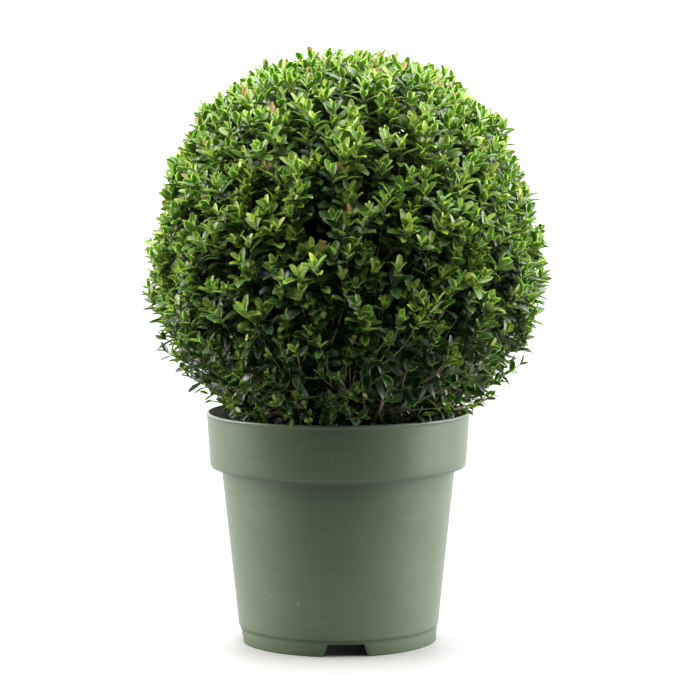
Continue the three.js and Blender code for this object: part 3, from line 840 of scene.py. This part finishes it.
def pairsOnShoots(curve, number, habit):
    # Opposite pairs, each turned a quarter from the last. A pair stands back from the tip by the sum of the
    # gaps so far, as a share of the shoot's span. Age goes from 0 at the tip to 1 at fullAt, and a leaf
    # leans out, grows and curls with it. number is each shoot's own number for its chances.
    count = len(curve[0])
    p = np.arange(habit["pairs"])
    nearRim = fade(curve[2][:, 2], *lowHabit["below"])[:, None]
    span = np.linalg.norm(curve[2] - curve[0], axis=1)
    gaps = mixTo(habit["spacing"], fade(p, 0, 3))
    back = habit["startAt"] + np.concatenate([[0], np.cumsum(gaps[:-1])])
    vigour = mixTo(scatter["vigour"], chance(number, 90))[:, None]
    t = 1 - back[None] * vigour * (1 + lowHabit["farther"] * nearRim) / span[:, None]
    fits = t > 0.03
    place = curveAt(curve, np.clip(t, 0, 1))
    axis = curveAlong(curve, np.clip(t, 0, 1))
    across = unit(np.cross(axis, upAxis + np.array([0.01, 0.02, 0])))
    second = np.cross(axis, across)
    twist = (p[None] * math.pi / 2 + (chance(number, 91) * math.pi)[:, None]
             + scatter["twist"] * (chance(number[:, None] * 8 + p[None], 92) - 0.5))
    across = np.cos(twist)[..., None] * across + np.sin(twist)[..., None] * second
    age = fade(back, 0, leaf["fullAt"])[None] * np.ones((count, 1))
    lean = mixTo(habit["lean"], age ** 0.8) + scatter["lean"] * (chance(number, 89) - 0.5)[:, None]
    size = mixTo(habit["size"], np.clip(age * 1.25, 0, 1)) * (0.55 + 0.45 * vigour)
    size = size * (1 - lowHabit["smaller"] * nearRim)
    result = []
    for sideways in (1, -1):
        key = number[:, None] * 16 + p[None] * 2 + (sideways > 0)
        tilt = lean + scatter["tilt"] * (chance(key, 93) - 0.5)
        along = np.cos(tilt)[..., None] * axis + sideways * np.sin(tilt)[..., None] * across
        along = unit(along + upTurn["along"] * upAxis)
        toss = np.stack([chance(key, 94), chance(key, 95), chance(key, 96)], -1) - 0.5
        face = unit(axis + scatter["face"] * toss + upTurn["face"] * upAxis)
        length = leaf["length"] * size * mixTo(scatter["length"], chance(key, 97))
        width = length * leaf["widthShare"] * habit["widthShare"] * mixTo(scatter["width"], chance(key, 98))
        width = width * (1 - lowHabit["narrower"] * nearRim)
        curl = leaf["curl"] * mixTo(scatter["curl"], chance(key, 99)) * (0.4 + 0.8 * age)
        bare = habit["missing"] + lowHabit["missing"] * habit["thins"] * nearRim
        keep = fits & (chance(key, 100) > bare * (0.3 + 1.7 * age))
        shoot = np.broadcast_to(np.arange(count)[:, None], keep.shape)
        made = {"root": place, "along": along, "face": face, "length": length, "width": width, "curl": curl,
                "age": age, "number": number[shoot], "tipHeight": curve[2][shoot, 2]}
        result.append({k: values[keep] for k, values in made.items()})
    return gathered(result)


# Ages are shares of a full leaf's; heights are where a change starts and where it is full.
dealing = {"tipAge": 0.28, "middleAge": 0.80, "brownAge": 0.20, "oldBackAge": 0.75, "dome": (330.0, 530.0),
           "low": (360.0, 290.0), "crown": (540.0, 590.0), "browned": (0.015, 0.15, 0.32), "yellowed": 0.015}
toneOf = {name: k for k, name in enumerate(leafTones)}


def painted(tone, rules):
    # Each rule in turn gives its tone to the leaves that it holds for.
    for holds, name in rules:
        tone = np.where(holds, toneOf[name], tone)
    return tone


def dealTones(leaves):
    # Plain colours dealt out by spray: the tip pairs of a shoot share a tone, and its older leaves a darker
    # one. The top is freshest and lightest, partly fresh growth and partly painted light where the top is
    # lit, with some cut tips gone brown;
    # towards the rim and in the hollows between clumps the leaves are deep, as painted shade.
    n, age, top = leaves["number"], leaves["age"], leaves["tipHeight"]
    pick, rare = chance(n, 110), chance(n, 111)
    dome = fade(top, *dealing["dome"])
    low = fade(top, *dealing["low"])
    # Leaves at the front of a clump are lighter and those in the hollows between clumps darker: painted
    # light and painted shade.
    forwardLit = clumps(leaves["root"]) * 0.5 + 0.5
    freshAndLit = np.clip(0.10 + 0.62 * dome + 0.22 * forwardLit - 0.18 * low, 0, 1)
    # Old leaves: those low on the ball often get the near-black tone, as painted shade.
    old = painted(toneOf["deepLeaf"], [
        (pick > 0.70 + 0.3 * dome, "blueLeaf"),
        ((age >= 1.0) & (pick > 1.1 * dome), "paintedShadeLeaf"),
        (pick < 0.9 * dome - 0.1, "greenLeaf")])
    middle = painted(toneOf["greenLeaf"], [
        (pick < 0.55 * freshAndLit, "brightLeaf"),
        (pick > 0.35 + 0.6 * freshAndLit, "deepLeaf")])
    least, onDome, onCrown = dealing["browned"]
    browned = least + onDome * dome ** 3 + onCrown * fade(top, *dealing["crown"])
    tip = painted(toneOf["freshTip"], [
        (pick < 0.62 * freshAndLit - 0.10, "limeTip"),
        (pick > 0.30 + 0.62 * freshAndLit, "brightLeaf"),
        (pick > 0.62 + 0.40 * freshAndLit, "greenLeaf"),
        # Tips near the rim get the deep tone: painted shade.
        (pick > 0.94 - 0.45 * low, "deepLeaf"),
        ((rare < browned) & (age < dealing["brownAge"]), "bronzeTip"),
        (rare > 1 - dealing["yellowed"] - 0.05 * dome, "yellowTip")])
    tone = np.where(age < dealing["tipAge"], tip, np.where(age < dealing["middleAge"], middle, old))
    tone = painted(tone, [((rare < 0.05 * dome ** 3) & (age < 0.4), "bronzeTip")])
    # Old leaves, and all leaves near the rim as painted shade, get the deep under face.
    pale = (age < dealing["oldBackAge"]) & (low < 0.5)
    return tone, np.where(pale, toneOf["paleBack"], toneOf["deepBack"])


def dealShade(leaves):
    # Leaves well inside the plant, given near-black and deep tones as painted shade.
    tone = np.where(chance(leaves["number"], 110) < 0.25, toneOf["deepLeaf"], toneOf["paintedShadeLeaf"])
    return tone, np.full(len(tone), toneOf["deepBack"])


def putLeaves(name, leaves, tone, back, template, materials):
    v, f = layLeaves(template, *(leaves[k] for k in ("root", "along", "face", "length", "width", "curl")))
    points, faces, isUnder, uvPoints, sharp = template
    count = len(leaves["root"])
    faceTone = np.where(np.tile(isUnder, count), np.repeat(back, len(faces)), np.repeat(tone, len(faces)))
    uv = np.tile(uvPoints[faces.ravel()], (count, 1))
    return putMesh(name, v, f, materials, faceTone, uv, sharpPairs=(sharp, len(points)))


def makeTwigs(bark, first, second, fans, unders, shoots):
    fanFeet = mixTo(fan["thick"], chance(np.arange(fan["stems"]), 135) ** 3)
    v, f = joined([tubes(first, twigMm["limbBranch"], 7, 9, barkRelief(0.06)),
                   tubes(second, twigMm["branch"], 5, 7),
                   tubes(fans, (fanFeet, fan["tipShare"] * fanFeet), 6, 12),
                   tubes(unders, twigMm["under"], 5, 8),
                   tubes(shoots, twigMm["shoot"], 3, 6)])
    piece = putMesh("branchesAndTwigs", v, f, [bark])
    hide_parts("foliage_ball")
    report(f"branches and twigs, {len(f)} triangles")


# Leaf meshes by the height that their shoots end at, and the number of sectors that each is parted in.
zoneEdges = (300.0, 440.0)
zoneSectors = {"skirt": 2, "middle": 4, "dome": 4}
innerSectors = 2
youngTo = 0.8  # leaves up to this age have the finer shape
skirtNames = [f"skirt_spray_{i}" for i in range(1, 9)]


def makeFoliage(bark, limbs):
    uprights, lows = limbs[1:]
    first, second, tips = skeleton(limbs)
    shoots, number = shootCurves(second, tips)
    fans, unders = fanCurves(lows), underCurves(uprights, lows)
    report(f"{len(number)} shoots on {len(second[0])} branches")
    makeTwigs(bark, first, second, fans, unders, shoots)

    def onAll(curve, start, habit):
        return pairsOnShoots(curve, np.arange(len(curve[0])) + start, habit)

    leaves = gathered([pairsOnShoots(shoots, number, shootHabit), onAll(fans, 7000, fanHabit)])
    inner = gathered([onAll(second, 5000, branchHabit), onAll(first, 6000, branchHabit),
                      onAll(uprights, 8000, boughHabit), onAll(lows, 8100, boughHabit),
                      onAll(unders, 8200, underHabit)])
    fine, plain = leafTemplate(fineRows), leafTemplate(plainRows)
    young = leaves["age"] < youngTo
    zone = np.digitize(leaves["tipHeight"], zoneEdges)
    tones = dealTones(leaves)
    sets = []
    for k, (name, sectors) in enumerate(zoneSectors.items()):
        sets += [(name + "Young", (zone == k) & young, sectors, leaves, tones, fine),
                 (name + "Old", (zone == k) & ~young, sectors, leaves, tones, plain)]
    sets.append(("inner", np.ones(len(inner["root"]), bool), innerSectors, inner, dealShade(inner), plain))
    materials = [leafMaterial(name, tone) for name, tone in leafTones.items()]
    total = 0
    for kind, inSet, sectors, these, (tone, back), template in sets:
        beside = these["root"] - ball["middle"]
        sector = (np.mod(np.arctan2(beside[:, 1], beside[:, 0]) / (2 * math.pi), 1) * sectors).astype(int)
        for s in range(sectors):
            mask = inSet & (sector == s)
            chosen = {k: values[mask] for k, values in these.items()}
            piece = putLeaves(f"{kind}Leaves{s + 1}", chosen, tone[mask], back[mask], template, materials)
            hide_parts(*(skirtNames if kind.startswith("skirt") else ["foliage_ball"]))
            total += len(piece.data.polygons)
    report(f"{len(leaves['root']) + len(inner['root'])} leaves, {total} triangles")


# The studio.

# A pale paper floor, as the camera sees it. What it throws back at the plant is held down by painted shade,
# a dark tone as of a black board laid out of sight in front, except for a patch of painted light near the
# plant, where the floor glows though it is no lamp; the glow starts over frontMm from front to back and over
# besideMm from the pot's axis, so the floor right under the pot is left dark as painted shade.
floorLook = {"paper": "#969695", "paintedBounce": "#3a3a3a", "rough": 0.6, "glow": 0.75,
             "frontMm": (-420.0, -340.0), "besideMm": (100.0, 150.0), "half": 8.0}


def makeFloor():
    material, tree = newMaterial("paleFloor")
    where = addNode(tree, "TexCoord").outputs["Object"]
    parts = addNode(tree, "SeparateXYZ", None, {"Vector": where})
    # The glow falls away towards the pot's axis: painted shade under the pot for bounced light.
    away = addNode(tree, "VectorMath", {"operation": "DISTANCE", 1: tuple(potAt * mm)}, {0: where})
    near, beside = (
        addNode(tree, "MapRange", spanned((start * mm, end * mm), (0.0, most)), {"Value": source})
        for (start, end), most, source in ((floorLook["frontMm"], floorLook["glow"], parts.outputs["Y"]),
                                           (floorLook["besideMm"], 1.0, away.outputs["Value"])))
    patch = addNode(tree, "Math", {"operation": "MULTIPLY"}, {0: near, 1: beside})
    # For rays other than the camera's: a dark tone as painted shade, and an emitted glow near the plant as
    # painted light.
    paintedBounce = addNode(tree, "BsdfPrincipled",
                     {"Base Color": linear(floorLook["paintedBounce"]), "Roughness": floorLook["rough"],
                      "Emission Color": (1, 1, 1, 1)}, {"Emission Strength": patch})
    paper = addNode(tree, "BsdfPrincipled",
                    {"Base Color": linear(floorLook["paper"]), "Roughness": floorLook["rough"]})
    ray = addNode(tree, "LightPath")
    both = addNode(tree, "MixShader", None, {0: ray.outputs["Is Camera Ray"], 1: paintedBounce, 2: paper})
    addNode(tree, "OutputMaterial", None, {"Surface": both})
    mesh = bpy.data.meshes.new("studioFloor")
    h = floorLook["half"]
    mesh.from_pydata([(-h, -h, 0), (h, -h, 0), (h, h, 0), (-h, h, 0)], [], [(0, 1, 2, 3)])
    mesh.materials.append(material)
    floor = addObject("studioFloor", mesh)


# White cloth hangs at both sides, less lit behind, and overhead, and the room in front is dim. The cloth is
# brighter than white, so it is plain white to look at and gives strong edges to whatever stands before it.
# Each row goes from one level to another with the cosine to its direction: turn is from straight behind, in
# degrees to the right, and lean is from straight up, in degrees to the back.
airLook = {
    "cloth": {"turn": 8.0, "fade": (-0.50, 0.10), "levels": (0.03, 7.2)},
    "dimmer": {"turn": -4.0, "fade": (0.40, 0.90), "levels": (1.0, 0.40)},
    "overhead": {"lean": -8.0, "fade": (0.74, 0.94), "levels": (0.0, 3.0)},
    "colour": "#fdfdfd",
}


def makeAir():
    world = bpy.data.worlds.new("studioAir")
    world.use_nodes = True
    air = world.node_tree
    way = addNode(air, "TexCoord").outputs["Generated"]

    def faded(look):
        if "lean" in look:
            lean = math.radians(look["lean"])
            direction = (0.0, math.sin(lean), math.cos(lean))
        else:
            turn = math.radians(look["turn"])
            direction = (math.sin(turn), math.cos(turn), 0.0)
        cosine = addNode(air, "VectorMath", {"operation": "DOT_PRODUCT", 1: direction}, {0: way})
        return addNode(air, "MapRange",
                       {"interpolation_type": "SMOOTHSTEP"} | spanned(look["fade"], look["levels"]),
                       {"Value": cosine.outputs["Value"]})

    sides = addNode(air, "Math", {"operation": "MULTIPLY"},
                    {0: faded(airLook["cloth"]), 1: faded(airLook["dimmer"])})
    most = addNode(air, "Math", {"operation": "MAXIMUM"}, {0: sides, 1: faded(airLook["overhead"])})
    ray = addNode(air, "LightPath")
    seen = addNode(air, "Math", {"operation": "MAXIMUM"}, {0: most, 1: ray.outputs["Is Camera Ray"]})
    shine = air.nodes["Background"]
    shine.inputs["Color"].default_value = linear(airLook["colour"])
    air.links.new(seen.outputs["Value"], shine.inputs["Strength"])
    bpy.context.scene.world = world


lightBoxes = {
    "rightBox": {"place": (1.9, -0.1, 0.6), "target": (0, 0, 0.3), "size": (1.2, 1.2), "watts": 23,
                 "colour": "#ffffff"},
    "leftBox": {"place": (-1.9, -0.1, 1.0), "target": (0, 0, 0.4), "size": (1.2, 1.4), "watts": 32,
                "colour": "#fff8e8"},
    "topBox": {"place": (-0.35, -0.80, 2.4), "target": (0, 0, 0.4), "size": (1.2, 1.2), "watts": 30,
               "colour": "#ffffff"},
}


def makeLight(name, box):
    data = bpy.data.lights.new(name, "AREA")
    data.shape = "RECTANGLE"
    data.size, data.size_y = box["size"]
    data.energy = box["watts"]
    data.color = linear(box["colour"])[:3]
    light = addObject(name, data)
    light.location = box["place"]
    away = np.array(box["place"], float) - np.array(box["target"], float)
    flat = math.hypot(away[0], away[1])
    light.rotation_euler = (math.atan2(flat, away[2]), 0, math.atan2(away[0], -away[1]))


viewLook = {"place": (0.0081, -2.768, 0.553), "pitchDown": 5.05, "roll": 0.1, "lens": 135.0, "sensor": 36.0}


def makeView():
    camera = bpy.data.cameras.new("studioCamera")
    camera.lens = viewLook["lens"]
    camera.sensor_width = viewLook["sensor"]
    view = addObject("studioCamera", camera)
    view.location = viewLook["place"]
    view.rotation_mode = "XYZ"
    view.rotation_euler = (math.radians(90 - viewLook["pitchDown"]), math.radians(viewLook["roll"]), 0)
    bpy.context.scene.camera = view
    bpy.context.scene.view_settings.view_transform = "Standard"


makeFloor()
makeAir()
for boxName, lightBox in lightBoxes.items():
    makeLight(boxName, lightBox)
makeView()
report("studio")
makePot(potMaterial())
report("container")
makeCompost(compostMaterial())
report("compost")
plantLimbs = limbCurves()
makeLimbs(barkMaterial("boxBark"), plantLimbs)
report("limbs")
makeFoliage(barkMaterial("youngBoxBark"), plantLimbs)
